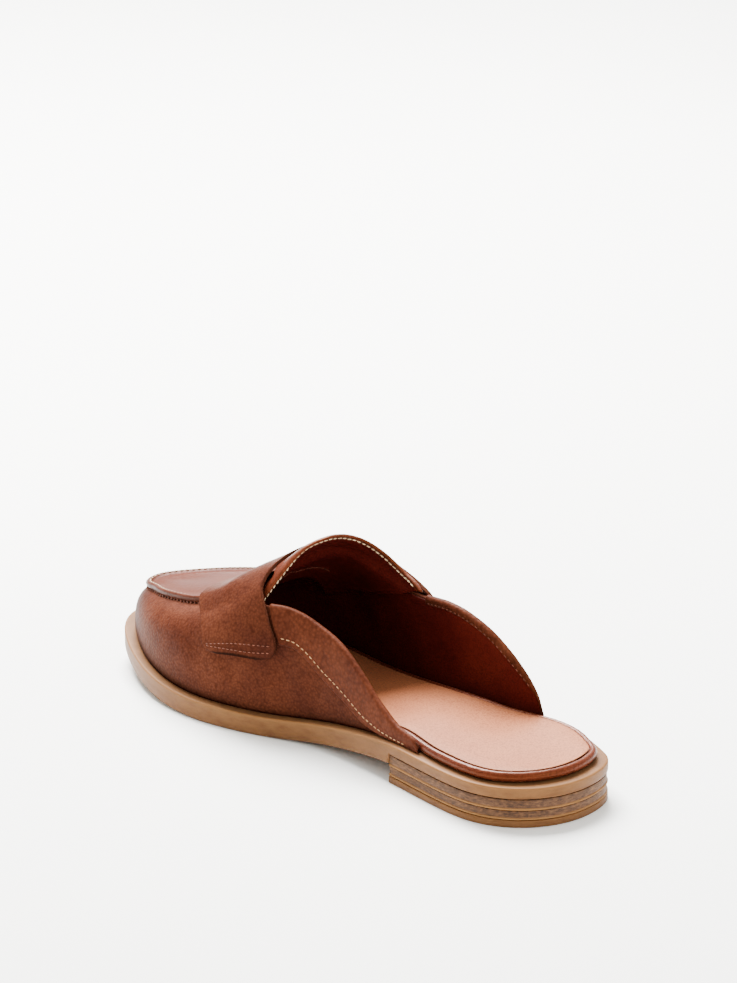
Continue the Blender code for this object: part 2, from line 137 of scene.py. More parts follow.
def spline(rows, column):
    """Natural cubic curve through one column of a table."""
    xs = np.array([row[0] for row in rows])
    ys = np.array([row[column] for row in rows])
    gaps = np.diff(xs)
    rises = np.diff(ys) / gaps
    system = np.eye(len(xs))
    right = np.zeros(len(xs))
    for i in range(1, len(xs) - 1):
        system[i, i - 1:i + 2] = gaps[i - 1], 2 * (gaps[i - 1] + gaps[i]), gaps[i]
        right[i] = 6 * (rises[i] - rises[i - 1])
    bends = np.linalg.solve(system, right)

    def value(x):
        x = np.clip(x, xs[0], xs[-1])
        i = np.clip(np.searchsorted(xs, x, side="right") - 1, 0, len(gaps) - 1)
        near = (xs[i + 1] - x) / gaps[i]
        far = (x - xs[i]) / gaps[i]
        bend = (near ** 3 - near) * bends[i] + (far ** 3 - far) * bends[i + 1]
        return near * ys[i] + far * ys[i + 1] + bend * gaps[i] ** 2 / 6

    return value


def table(rows, column):
    """Smooth curve through one column of a table, without overshoot."""
    xs = np.array([row[0] for row in rows])
    ys = np.array([row[column] for row in rows])
    steps = np.diff(xs)
    rises = np.diff(ys) / steps
    slopes = np.zeros(len(xs))
    slopes[0] = rises[0]
    slopes[-1] = rises[-1]
    for i in range(1, len(xs) - 1):
        if rises[i - 1] * rises[i] > 0:
            near = 2 * steps[i] + steps[i - 1]
            far = steps[i] + 2 * steps[i - 1]
            slopes[i] = (near + far) / (near / rises[i - 1] + far / rises[i])

    def value(x):
        x = np.clip(x, xs[0], xs[-1])
        i = np.clip(np.searchsorted(xs, x, side="right") - 1, 0, len(steps) - 1)
        s = (x - xs[i]) / steps[i]
        start = ys[i] * (1 + 2 * s) * (1 - s) ** 2 + slopes[i] * steps[i] * s * (1 - s) ** 2
        end = ys[i + 1] * s * s * (3 - 2 * s) + slopes[i + 1] * steps[i] * s * s * (s - 1)
        return start + end

    return value


def smooth(start, end, x):
    s = np.clip((np.asarray(x, float) - start) / (end - start), 0.0, 1.0)
    return s * s * (3 - 2 * s)


def station(along):
    """Station t of a share of the length."""
    return np.arccos(1 - 2 * np.clip(along, 0.0, 1.0)) / math.pi


def unit(vectors):
    return vectors / np.maximum(np.linalg.norm(vectors, axis=-1, keepdims=True), 1e-9)


class Last:
    """The shoe's form, worked out from the named sizes."""

    def __init__(self, sizes):
        self.length = sizes.length / MM
        self.ball = sizes.ball_width / MM
        self.heel = sizes.heel_height / MM
        self.fore = sizes.forepart_thickness / MM
        self.spring = sizes.toe_spring / MM
        self.instep = sizes.instep_height / MM
        self.ledge = sizes.ledge / MM
        self.gap = 0.3
        rows = [(float(station(row[0])), row[1], row[2]) for row in OUTLINE]
        self.half = {-1: spline(rows, 1), 1: spline(rows, 2)}
        self.ridge_height = spline(SECTIONS, 1)
        self.ridge_offset = spline(SECTIONS, 2)
        self.run = spline(SECTIONS, 3)
        self.rise = spline(SECTIONS, 4)
        self.top = {-1: table(TOPLINE_MEDIAL, 1), 1: table(TOPLINE_LATERAL, 1)}
        self.low = {-1: table(COLLAR_LOW_MEDIAL, 1), 1: table(COLLAR_LOW_LATERAL, 1)}

    def y_at(self, t):
        return -0.5 * self.length * np.cos(math.pi * t)

    def share(self, y):
        return y / self.length + 0.5

    def outline(self, t, side):
        half = np.where(side < 0, self.half[-1](t), self.half[1](t))
        return np.stack([side * half * self.ball, self.y_at(t)], -1)

    def edge(self, t, side, inset):
        """Points on the sole's outline, moved in by inset."""
        step = 0.004
        t = np.asarray(t, float)
        side = np.broadcast_to(np.asarray(side, float), t.shape)
        along = self.outline(np.minimum(t + step / 2, 1), side) - self.outline(np.maximum(t - step / 2, 0), side)
        flat = np.stack([side, np.zeros_like(side)], -1)
        along = np.where((t < step)[..., None], flat, along)
        along = unit(np.where((t > 1 - step)[..., None], -flat, along))
        inward = side[..., None] * np.stack([-along[..., 1], along[..., 0]], -1)
        return self.outline(t, side) + np.asarray(inset)[..., None] * inward

    def waist_fall(self, y):
        return smooth(0.27, 0.60, self.share(y))

    def ledge_z(self, y):
        spring = np.maximum(0.0, (self.share(y) - 0.68) / 0.32) ** 2
        return self.heel + (self.fore - self.heel) * self.waist_fall(y) + self.spring * spring

    def bottom_z(self, y):
        spring = np.maximum(0.0, (self.share(y) - 0.68) / 0.32) ** 2
        return (self.heel - self.fore) * (1 - self.waist_fall(y)) + (self.spring + 1.6) * spring

    def ledge_width(self, y):
        ends = np.maximum(smooth(0.85, 1.0, self.share(y)), smooth(0.10, 0.0, self.share(y)))
        return self.ledge + 1.4 * ends

    def point(self, t, v, side):
        y = self.y_at(t)
        foot = self.edge(t, side, self.ledge_width(y))
        start = (RIDGE_FAN - 0.5) * self.length
        reach = self.length / 2 - start
        passed = np.maximum((y - start) / reach, 0.0)
        ridge_y = np.where(passed > 0, start + reach * (passed - RIDGE_PULL * passed ** 2), y)
        along = self.share(ridge_y)
        ridge = np.stack([self.ridge_offset(along) * self.ball, ridge_y], -1)
        turn = np.clip(v, 0.0, 1.0) * math.pi / 2
        run = np.where(v < 1, np.maximum(np.cos(turn), 1e-12) ** self.run(along), 0.0)
        rise = np.maximum(np.sin(turn), 1e-12) ** self.rise(along)
        foot_z = self.ledge_z(foot[..., 1]) + self.gap
        place = ridge + (foot - ridge) * run[..., None]
        z = foot_z + (self.ridge_height(along) * self.instep - foot_z) * rise
        return np.concatenate([place, z[..., None]], -1)

    def frame_at(self, across, along):
        """Points, outward normals and upward directions on the last's face."""
        across = np.asarray(across, float)
        along = np.broadcast_to(np.asarray(along, float), across.shape)
        t = station(along)
        v = 1 - np.abs(across)
        side = np.where(across < 0, -1.0, 1.0)
        step = 0.006
        before = np.maximum(t - step, 0.001)
        after = np.minimum(t + step, 0.999)
        lower = np.maximum(v - step, 0.004)
        upper = np.minimum(v + step, 1.0)
        outward = np.zeros(across.shape + (3,))
        middle = (v > 0.999) | (t > 0.999)
        for way, weight in ((side, np.ones_like(v)), (-side, middle.astype(float))):
            run = self.point(after, v, way) - self.point(before, v, way)
            over = self.point(t, upper, way) - self.point(t, lower, way)
            outward += unit(np.cross(run, over)) * (way * weight)[..., None]
        outward = unit(outward)
        over = self.point(t, upper, side) - self.point(t, lower, side)
        speed = np.linalg.norm(over, axis=-1) / (upper - lower)
        return self.point(t, v, side), outward, unit(over), speed

    def lifted(self, across, along, lift, rise=0.0):
        """Points at a distance outwards from the last and a distance up its section."""
        place, outward, upward, speed = self.frame_at(across, along)
        lift = np.asarray(lift, float)
        rise = np.asarray(rise, float)
        return place + outward * lift[..., None] + upward * rise[..., None]


def crease_depth(last, across, along):
    """How far the creases pull the leather in, in mm, with a soft ridge beside each."""
    place = last.lifted(across, along, np.zeros_like(across))
    depth = np.zeros(across.shape)
    for start_across, start_along, end_across, end_along, width, deep in CREASES:
        steps = np.linspace(0, 1, 9)
        line = last.lifted(start_across + (end_across - start_across) * steps,
                           start_along + (end_along - start_along) * steps, np.zeros(9))
        reach = np.linalg.norm(place[..., None, :] - line, axis=-1)
        nearest = reach.min(-1)
        fade = np.sin(math.pi * np.clip(reach.argmin(-1) / 8, 0.06, 0.94)) ** 0.5
        depth += deep * fade * (np.exp(-(nearest / width) ** 2) - 0.35 * np.exp(-((nearest - 2 * width) / width) ** 2))
    return depth


def new_mesh_object(name, work, material, body="root"):
    mesh = bpy.data.meshes.new(name)
    work.to_mesh(mesh)
    work.free()
    mesh.shade_smooth()
    piece = bpy.data.objects.new(name, mesh)
    bpy.context.scene.collection.objects.link(piece)
    piece.data.materials.append(material)
    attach(piece, body)
    return piece


def mapped_grid(name, columns, rows, place, material, size_uv=(1.0, 1.0), outward_up=True):
    """A grid whose points are moved to place(s, w); s and w run from 0 to 1. place gives mm and a tint."""
    work = bmesh.new()
    bmesh.ops.create_grid(work, x_segments=columns, y_segments=rows, size=0.5)
    work.verts.ensure_lookup_table()
    flat = np.array([vert.co[:2] for vert in work.verts]) + 0.5
    s = np.round(flat[:, 0] * columns) / columns
    w = np.round(flat[:, 1] * rows) / rows
    points, tint = place(s, w)
    uv = work.loops.layers.uv.new("UVMap")
    shade = work.verts.layers.float.new("tint")
    for face in work.faces:
        for loop in face.loops:
            index = loop.vert.index
            loop[uv].uv = (s[index] * size_uv[0], w[index] * size_uv[1])
    for vert in work.verts:
        vert.co = Vector(points[vert.index] * MM)
        vert[shade] = float(tint[vert.index])
    bmesh.ops.remove_doubles(work, verts=work.verts, dist=2e-6)
    bmesh.ops.dissolve_degenerate(work, dist=1e-7, edges=work.edges)
    bmesh.ops.recalc_face_normals(work, faces=work.faces)
    if outward_up is not None:
        highest = max(work.faces, key=lambda face: face.calc_center_median().z)
        if (highest.normal.z > 0) != outward_up:
            bmesh.ops.reverse_faces(work, faces=work.faces)
    return new_mesh_object(name, work, material)


def wall(piece, thickness, offset=-1.0):
    """Gives an open sheet its thickness, inwards by default."""
    solid = piece.modifiers.new("wall", "SOLIDIFY")
    solid.thickness = thickness * MM
    solid.offset = offset
    solid.use_even_offset = False
    solid.use_quality_normals = True
    return solid


def rounded(piece, width, segments=3):
    """Rounds the cut edges of a walled sheet."""
    bevel = piece.modifiers.new("cut_edges", "BEVEL")
    bevel.width = width * MM
    bevel.segments = segments
    bevel.limit_method = "ANGLE"
    bevel.angle_limit = math.radians(50)
    return bevel


def dress(piece, slot, *nodes):
    if nodes:
        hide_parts(*nodes)
    return piece


def ring_solid(last, name, stations, ring, material, slot, *nodes):
    """Solid with the sole's outline. ring rows are (c, inset, height, tint): c runs from -1 medial to 1 lateral."""
    stations = np.asarray(stations, float)
    rows = len(stations) - 1
    grid = np.zeros((len(ring) + 1, rows + 1, 3))
    tints = np.zeros((len(ring) + 1, rows + 1))
    for k, (c, inset, height, tint) in enumerate(ring):
        depth = inset(stations) if callable(inset) else np.full(len(stations), float(inset))
        medial = last.edge(stations, -1.0, depth)
        lateral = last.edge(stations, 1.0, depth)
        share = (c + 1) / 2
        place = medial * (1 - share) + lateral * share
        grid[k, :, :2] = place
        grid[k, :, 2] = height(place[:, 1], stations)
        tints[k] = tint
    grid[-1] = grid[0]
    tints[-1] = tints[0]

    def place(s, w):
        column = np.round(s * len(ring)).astype(int)
        row = np.round(w * rows).astype(int)
        return grid[column, row], tints[column, row]

    piece = mapped_grid(name, len(ring), rows, place, material, (0.3, 0.26), outward_up=None)
    if stations[-1] < 1:
        work = bmesh.new()
        work.from_mesh(piece.data)
        ends = [edge for edge in work.edges if edge.is_boundary]
        bmesh.ops.holes_fill(work, edges=ends, sides=0)
        bmesh.ops.recalc_face_normals(work, faces=work.faces)
        work.to_mesh(piece.data)
        work.free()
    return dress(piece, slot, *nodes)


def stitch_row(name, points, normals, spacing, size, material, slot, slant=0.0, cross=False):
    """Thread: one small rounded stitch after another along a line of points, all in one mesh."""
    points = np.asarray(points)
    legs = np.linalg.norm(np.diff(points, axis=0), axis=1)
    run = np.concatenate([[0], np.cumsum(legs)])
    count = max(int(run[-1] / spacing), 1)
    work = bmesh.new()
    length, width, height = size
    for k in range(count):
        middle = (k + 0.5) * run[-1] / count
        place = np.array([np.interp(middle, run, points[:, i]) for i in range(3)])
        ahead = np.array([np.interp(min(middle + 0.5, run[-1]), run, points[:, i]) for i in range(3)])
        behind = np.array([np.interp(max(middle - 0.5, 0), run, points[:, i]) for i in range(3)])
        normal = unit(np.array([np.interp(middle, run, normals[:, i]) for i in range(3)]))
        forward = unit(ahead - behind)
        sideways = unit(np.cross(normal, forward))
        forward = np.cross(sideways, normal)
        if cross:
            forward, sideways = sideways, -forward
        turn = math.cos(slant) * forward + math.sin(slant) * sideways
        over = np.cross(normal, turn)
        matrix = Matrix((
            (turn[0], over[0], normal[0], place[0]),
            (turn[1], over[1], normal[1], place[1]),
            (turn[2], over[2], normal[2], place[2]),
            (0, 0, 0, 1),
        ))
        scale = Matrix.Diagonal((length / 2, width / 2, height / 2, 1))
        bmesh.ops.create_uvsphere(work, u_segments=8, v_segments=6, radius=1.0, matrix=matrix @ scale)
    for vert in work.verts:
        vert.co *= MM
    return dress(new_mesh_object(name, work, material), slot)


def linear(hex_colour):
    """sRGB hex to linear RGBA."""
    values = [int(hex_colour[i:i + 2], 16) / 255 for i in (1, 3, 5)]
    return tuple(v / 12.92 if v <= 0.04045 else ((v + 0.055) / 1.055) ** 2.4 for v in values) + (1.0,)


def add(tree, kind, settings=None, links=None):
    """Adds a node with its settings; links maps an input's name or number to another node's output."""
    node = tree.nodes.new(kind)
    for key, value in (settings or {}).items():
        if isinstance(key, str) and hasattr(node, key):
            setattr(node, key, value)
        else:
            node.inputs[key].default_value = value
    for key, output in (links or {}).items():
        tree.links.new(output, node.inputs[key])
    return node


def ramp(tree, source, stops):
    node = add(tree, "ShaderNodeValToRGB", links={"Fac": source})
    elements = node.color_ramp.elements
    while len(elements) < len(stops):
        elements.new(0.5)
    for element, (position, colour) in zip(elements, stops):
        element.position = position
        element.color = linear(colour)
    return node


def new_material(name):
    made = bpy.data.materials.new(name)
    made.use_nodes = True
    tree = made.node_tree
    return made, tree, tree.nodes["Principled BSDF"]


def leather(name, low, middle, high, dark, grain=950.0, depth=0.24, roughness=0.44, shine=0.025, tone=26.0,
            sheen_tone="#F09860"):
    """Full-grain cowhide, drum-dyed, waxed and burnished: cloudy tone, fine pebble, soft gloss.

    low, middle and high are the tones of the hide's clouds. dark is laid on where tint is 1, mostly as painted shade.
    grain is pebbles per metre, drawn about twice as coarse as real so that it shows. shine is the wax.
    """
    made, tree, shader = new_material(name)
    place = add(tree, "ShaderNodeTexCoord").outputs["Object"]
    clouds = add(tree, "ShaderNodeTexNoise", {"Scale": tone, "Detail": 12.0, "Roughness": 0.70}, {"Vector": place})
    colour = ramp(tree, clouds.outputs["Fac"], ((0.30, low), (0.50, middle), (0.72, high)))
    tint = add(tree, "ShaderNodeAttribute", {"attribute_name": "tint"})
    ragged = add(tree, "ShaderNodeTexNoise", {"Scale": 90.0, "Detail": 4.0}, {"Vector": place})
    spread = add(tree, "ShaderNodeMath", {"operation": "MULTIPLY_ADD", 1: 0.5, 2: -0.25}, {0: ragged.outputs["Fac"]})
    edge = add(tree, "ShaderNodeMath", {"operation": "ADD", "use_clamp": True},
               {0: tint.outputs["Fac"], 1: spread.outputs["Value"]})
    keep = add(tree, "ShaderNodeMath", {"operation": "MULTIPLY"}, {0: edge.outputs["Value"], 1: tint.outputs["Fac"]})
    # Painted shade: where tint is 1 the dark tone is laid on with a ragged edge; on the upper's band along the sole it
    # stands partly for burnished leather.
    shade_and_burnish = add(tree, "ShaderNodeMix", {"data_type": "RGBA", "blend_type": "MIX"},
                {"Factor": keep.outputs["Value"], 6: colour.outputs["Color"]})
    shade_and_burnish.inputs[7].default_value = linear(dark)
    pores = add(tree, "ShaderNodeTexVoronoi", {"Scale": grain, "feature": "SMOOTH_F1", "Smoothness": 0.5},
                {"Vector": place})
    speck = ramp(tree, pores.outputs["Distance"], ((0.10, "#FFFFFF"), (0.85, "#A2948C")))
    dyed = add(tree, "ShaderNodeMix", {"data_type": "RGBA", "blend_type": "MULTIPLY", "Factor": 0.70},
               {6: shade_and_burnish.outputs[2], 7: speck.outputs["Color"]})
    tree.links.new(dyed.outputs[2], shader.inputs["Base Color"])
    fine = add(tree, "ShaderNodeTexNoise", {"Scale": grain * 0.45, "Detail": 5.0}, {"Vector": place})
    height = add(tree, "ShaderNodeMix", {"data_type": "FLOAT", "Factor": 0.5},
                 {2: pores.outputs["Distance"], 3: fine.outputs["Fac"]})
    bump = add(tree, "ShaderNodeBump", {"Strength": 0.9, "Distance": depth * MM, "invert": True},
               {"Height": height.outputs[0]})
    tree.links.new(bump.outputs["Normal"], shader.inputs["Normal"])
    gloss = add(tree, "ShaderNodeMapRange", {"To Min": roughness - 0.07, "To Max": roughness + 0.12},
                {"Value": clouds.outputs["Fac"]})
    tree.links.new(gloss.outputs["Result"], shader.inputs["Roughness"])
    shader.inputs["Specular IOR Level"].default_value = shine
    shader.inputs["Specular Tint"].default_value = linear(sheen_tone)
    return made


def rubber(name, base, light, dark):
    """Moulded crepe-look rubber with a brushed edge: matte, with fine streaks along the edge, and a painted highlight
    where tint is 1.
    """
    made, tree, shader = new_material(name)
    place = add(tree, "ShaderNodeTexCoord").outputs["Object"]
    flat = add(tree, "ShaderNodeMapping", {"Scale": (1.0, 1.0, 3.0)}, {"Vector": place})
    streaks = add(tree, "ShaderNodeTexNoise", {"Scale": 140.0, "Detail": 8.0, "Roughness": 0.7},
                  {"Vector": flat.outputs["Vector"]})
    colour = ramp(tree, streaks.outputs["Fac"], ((0.15, dark), (0.50, base), (0.95, light)))
    tint = add(tree, "ShaderNodeAttribute", {"attribute_name": "tint"})
    lit = add(tree, "ShaderNodeMix", {"data_type": "RGBA"}, {"Factor": tint.outputs["Fac"], 6: colour.outputs["Color"]})
    lit.inputs[7].default_value = linear(light)
    tree.links.new(lit.outputs[2], shader.inputs["Base Color"])
    bump = add(tree, "ShaderNodeBump", {"Strength": 0.35, "Distance": 0.08 * MM}, {"Height": streaks.outputs["Fac"]})
    tree.links.new(bump.outputs["Normal"], shader.inputs["Normal"])
    shader.inputs["Roughness"].default_value = 0.5
    shader.inputs["Specular IOR Level"].default_value = 0.15
    shader.inputs["Specular Tint"].default_value = linear("#E8B890")
    return made


def stacked_leather(name):
    """Heel lifts of compressed leather board, sanded and waxed: dark specks on tan, paler along each bead where tint is
    1.
    """
    made, tree, shader = new_material(name)
    place = add(tree, "ShaderNodeTexCoord").outputs["Object"]
    flat = add(tree, "ShaderNodeMapping", {"Scale": (1.0, 1.0, 3.5)}, {"Vector": place})
    specks = add(tree, "ShaderNodeTexNoise", {"Scale": 420.0, "Detail": 6.0, "Roughness": 0.8},
                 {"Vector": flat.outputs["Vector"]})
    colour = ramp(tree, specks.outputs["Fac"], ((0.34, "#2C1D12"), (0.50, "#573B27"), (0.66, "#80593A")))
    bands = add(tree, "ShaderNodeTexNoise", {"Scale": 30.0, "Detail": 3.0}, {"Vector": flat.outputs["Vector"]})
    shade = ramp(tree, bands.outputs["Fac"], ((0.35, "#B9B0A8"), (0.65, "#FFFFFF")))
    mixed = add(tree, "ShaderNodeMix", {"data_type": "RGBA", "blend_type": "MULTIPLY", "Factor": 0.8},
                {6: colour.outputs["Color"], 7: shade.outputs["Color"]})
    tint = add(tree, "ShaderNodeAttribute", {"attribute_name": "tint"})
    lit = add(tree, "ShaderNodeMix", {"data_type": "RGBA"}, {"Factor": tint.outputs["Fac"], 6: mixed.outputs[2]})
    lit.inputs[7].default_value = linear("#80582F")
    tree.links.new(lit.outputs[2], shader.inputs["Base Color"])
    bump = add(tree, "ShaderNodeBump", {"Strength": 0.4, "Distance": 0.08 * MM}, {"Height": specks.outputs["Fac"]})
    tree.links.new(bump.outputs["Normal"], shader.inputs["Normal"])
    shader.inputs["Roughness"].default_value = 0.55
    shader.inputs["Specular IOR Level"].default_value = 0.15
    return made


def thread(name, colour, dark):
    """Waxed polyester thread, plied: a slight sheen and a fine twist."""
    made, tree, shader = new_material(name)
    place = add(tree, "ShaderNodeTexCoord").outputs["Object"]
    twist = add(tree, "ShaderNodeTexNoise", {"Scale": 1800.0, "Detail": 2.0}, {"Vector": place})
    tone = ramp(tree, twist.outputs["Fac"], ((0.35, dark), (0.6, colour)))
    tree.links.new(tone.outputs["Color"], shader.inputs["Base Color"])
    shader.inputs["Roughness"].default_value = 0.6
    shader.inputs["Specular IOR Level"].default_value = 0.1
    shader.inputs["Sheen Weight"].default_value = 0.05
    return made


def made_materials(looks):
    """All finishes by name, made once."""
    if "moulded_rubber" in bpy.data.materials:
        return bpy.data.materials
    leather("burnished_cowhide", looks.leather_dark, looks.leather_middle, looks.leather_light, looks.shade_and_burnish_tone)
    leather("glazed_cowhide", "#4B2418", "#552B1F", "#603428", "#421E11", 1100.0, 0.10, 0.40, 0.10, 26.0, "#FFA884")
    leather("pebbled_cowhide", "#3D1C13", "#4D2618", "#5C3120", "#240D08", 700.0, 0.30, 0.45, 0.04)
    leather("dyed_lining_calf", "#340D0C", "#47140F", "#561D14", "#200605", 1400.0, 0.05, 0.5, 0.12, 26.0, "#E07050")
    leather("waxed_wrap_cowhide", "#40180D", "#522314", "#602D1B", "#1E0904", 1200.0, 0.14, 0.34, 0.3)
    leather("pigmented_pigskin", "#96583A", "#A06140", "#A86947", "#70442C", 1500.0, 0.01, 0.42, 0.15, 14.0, "#FFE0C8")
    leather("raw_cut_edge", "#4A2619", "#5C3325", "#6E4232", "#3A1E14", 1500.0, 0.20, 0.8, 0.03)
    rubber("moulded_rubber", looks.rubber, "#76502F", "#4A2E1C")
    stacked_leather("stacked_leather_board")
    thread("cream_thread", looks.thread, "#9A7E60")
    thread("waxed_tan_thread", "#B89068", "#7A563A")
    thread("tan_thread", "#744434", "#42261C")
    thread("brown_thread", "#4A2618", "#200A05")
    return bpy.data.materials


class LoaferSizes(bpy.types.PropertyGroup):
    length: FloatProperty(name="Sole length", description="Heel to toe", default=0.260, unit="LENGTH")
    ball_width: FloatProperty(name="Ball width", description="Sole width at the ball", default=0.0883, unit="LENGTH")
    heel_height: FloatProperty(name="Heel height", description="Top of the heel seat", default=0.0174, unit="LENGTH")
    forepart_thickness: FloatProperty(
        name="Forepart", description="Thickness of the forepart", default=0.0089, unit="LENGTH")
    toe_spring: FloatProperty(name="Toe spring", description="Rise of the toe tip", default=0.0089, unit="LENGTH")
    instep_height: FloatProperty(name="Instep", description="Height of the last's ridge", default=0.088, unit="LENGTH")
    ledge: FloatProperty(name="Sole ledge", description="Sole edge outside the upper", default=0.0034, unit="LENGTH")
    stitch: FloatProperty(name="Stitch", description="Length of a topstitch", default=0.0027, unit="LENGTH")


class LoaferLooks(bpy.types.PropertyGroup):
    leather_dark: StringProperty(name="Leather, dark", description="Darkest cloud of the hide", default="#391B14")
    leather_middle: StringProperty(name="Leather", description="Main tone of the hide", default="#4B2619")
    leather_light: StringProperty(name="Leather, light", description="Lightest cloud", default="#5E3322")
    # This tone is also the painted shade laid on where tint is 1.
    shade_and_burnish_tone: StringProperty(name="Burnish", description="Tone of the burnished edges", default="#190804")
    rubber: StringProperty(name="Rubber", description="Main tone of the sole", default="#634329")
    thread: StringProperty(name="Thread", description="Tone of the topstitching", default="#DCC29C")


def pieces(context):
    return Last(context.scene.loafer_sizes), made_materials(context.scene.loafer_looks)


class LOAFER_OT_sole(bpy.types.Operator):
    """Outsole with its rounded edge, and the heel stack with its beads"""
    bl_idname = "loafer.sole"
    bl_label = "Sole and heel"

    def execute(self, context):
        last, finish = pieces(context)
        breast = float(station(0.31))
        layer = last.heel - 5.0
        stations = np.concatenate([np.linspace(0, breast, 60), np.linspace(breast + 0.0012, 1, 150)])

        def low(y, t):
            return np.where(t <= breast + 1e-9, layer, last.bottom_z(y))

        def bevel(t):
            return 0.8 + 1.6 * smooth(0.80, 1.0, last.share(last.y_at(t)))

        def raised(share, offset):
            return lambda y, t: low(y, t) + (last.ledge_z(y) - low(y, t)) * share + offset

        # The last value in each row is the tint: the rounded top corner is painted lighter, a painted highlight.
        half = [
            (bevel, low, 0.0), (lambda t: 0.4 * bevel(t), lambda y, t: low(y, t) + 0.3, 0.0),
            (0.0, lambda y, t: low(y, t) + 0.9, 0.0), (0.0, raised(0.5, 0.0), 0.0),
            (0.0, raised(1.0, -1.3), 0.15), (0.0, raised(1.0, -0.7), 0.6), (0.12, raised(1.0, -0.3), 0.9),
            (0.45, raised(1.0, -0.05), 0.75), (1.0, raised(1.0, 0.0), 0.25), (3.0, raised(1.0, 0.0), 0.0),
            (5.0, raised(1.0, 0.0), 0.0),
        ]
        ring = [(-1, inset, height, tint) for inset, height, tint in half]
        ring += [(1, inset, height, tint) for inset, height, tint in half[::-1]]
        across = [(c, bevel, low, 0.0) for c in (0.6, 0.2, -0.2, -0.6)]
        ring_solid(last, "outsole_moulded", stations, ring + across, finish["moulded_rubber"],
                   "sole_rubber", "outsole")
        end = float(station(0.31 - 0.3 / last.length))
        stations = np.linspace(0, end, 70)
        layers = (("heel_lift_upper", layer - 0.3, layer - 4.8, True, "stacked_leather_board", "stacked_heel"),
                  ("heel_lift_lower", layer - 5.1, layer - 9.0, True, "stacked_leather_board", "stacked_heel"),
                  ("heel_top_piece", layer - 9.3, 0.0, False, "moulded_rubber", "sole_rubber"))
        for name, top, bottom, beaded, material, slot in layers:
            def level(z):
                return lambda y, t: np.full(len(y), z)
            if beaded:
                half = [(0.5, level(bottom), 0.6), (0.15, level(bottom + 0.12), 0.9), (0.0, level(bottom + 0.4), 1.0),
                        (0.15, level(bottom + 0.75), 0.9), (0.45, level(bottom + 0.95), 0.3),
                        (0.5, level(bottom + 1.2), 0.0), (0.5, level(top - 0.3), 0.0), (0.65, level(top), 0.0)]
            else:
                # The top piece's rounded top edge is painted lighter, a painted highlight.
                half = [(0.5, level(bottom), 0.0), (0.15, level(bottom + 0.15), 0.0), (0.0, level(bottom + 0.5), 0.0),
                        (0.0, level(top - 0.4), 0.1), (0.2, level(top - 0.1), 0.6), (0.45, level(top), 0.6)]
            ring = [(-1, *row) for row in half] + [(1, *row) for row in half[::-1]]
            ring_solid(last, name + "_dressed", stations, ring, finish[material], slot, name)
        return {"FINISHED"}


def footbed_inset(last, t, side):
    along = last.share(last.y_at(t))
    end = (TOPLINE_MEDIAL if side < 0 else TOPLINE_LATERAL)[0][0]
    return last.ledge_width(last.y_at(t)) + 2.9 * smooth(end - 0.040, end + 0.070, along)


class LOAFER_OT_footbed(bpy.types.Operator):
    """Footbed board wrapped in leather, with its rolled rim, and the sock liner"""
    bl_idname = "loafer.footbed"
    bl_label = "Footbed and sock liner"

    def execute(self, context):
        last, finish = pieces(context)
        stations = np.linspace(0, 1, 190)
        height = 4.3
        roll = 3.5
        arc = []
        for k in range(11):
            angle = math.radians(-50 + 205 * k / 10)
            arc.append((roll / 2 - roll / 2 * math.cos(angle), height / 2 + height / 2 * math.sin(angle)))
        grid_rows = [(0.7 * roll, 0.0)] + arc + [(roll, height - 1.0), (roll + 2.0, height - 1.0)]
        self.ring(last, finish["waxed_wrap_cowhide"], stations, grid_rows)
        self.liner(last, finish["pigmented_pigskin"])
        return {"FINISHED"}

    def ring(self, last, material, stations, rows):
        columns = len(rows) * 2

        def place(s, w):
            column = np.round(s * columns).astype(int) % columns
            row = np.round(w * (len(stations) - 1)).astype(int)
            points = np.zeros((len(s), 3))
            for k in range(columns):
                side = -1 if k < len(rows) else 1
                inset, rise = rows[k] if side < 0 else rows[columns - 1 - k]
                mine = column == k
                t = stations[row[mine]]
                edge = last.edge(t, float(side), footbed_inset(last, t, side) + inset)
                points[mine, :2] = edge
                points[mine, 2] = last.ledge_z(edge[:, 1]) + last.gap + rise
            pucker = 0.10 * np.sin(points[:, 1] * 1.3 + 3 * np.sin(points[:, 0] * 0.21)) * (points[:, 2] > 0)
            points[:, 2] += pucker * 0.4
            # Painted shade at the foot of the roll, darker the lower it lies.
            level = points[:, 2] - last.ledge_z(points[:, 1])
            return points, np.clip(1.1 - level / 1.6, 0, 1)

        piece = mapped_grid("footbed_rim", columns, len(stations) - 1, place, material, (0.1, 0.26), None)
        dress(piece, "upper_leather", "footbed")

    def liner(self, last, material):
        seat = last.gap * 2 + 4.3 - 1.0
        rows, columns = 150, 40

        def place(s, w):
            t = np.clip(w, 0.0, 1.0)
            c = 2 * s - 1
            half = np.sin(c * math.pi / 2)
            share = (half + 1) / 2
            medial = last.edge(t, -1.0, footbed_inset(last, t, -1) + 3.4)
            lateral = last.edge(t, 1.0, footbed_inset(last, t, 1) + 3.4)
            points = np.zeros((len(s), 3))
            points[:, :2] = medial * (1 - share)[:, None] + lateral * share[:, None]
            y = points[:, 1]
            along = last.share(y)
            rim = 1 - np.abs(half) ** 6
            dish = 0.45 * smooth(0.0, 0.06, along) * (1 - np.abs(half) ** 2.5)
            points[:, 2] = last.ledge_z(y) + seat + 0.62 + 0.38 * rim - dish
            # Painted shade along the edges beside the roll and at the heel end.
            tint = 0.55 * smooth(0.90, 1.0, np.abs(half)) + 0.15 * smooth(0.06, 0.0, along)
            return points, tint

        piece = mapped_grid("sock_liner_dressed", columns, rows, place, material, (0.07, 0.24), True)
        wall(piece, 0.55)
        dress(piece, "sock_liner_leather", "sock_liner")


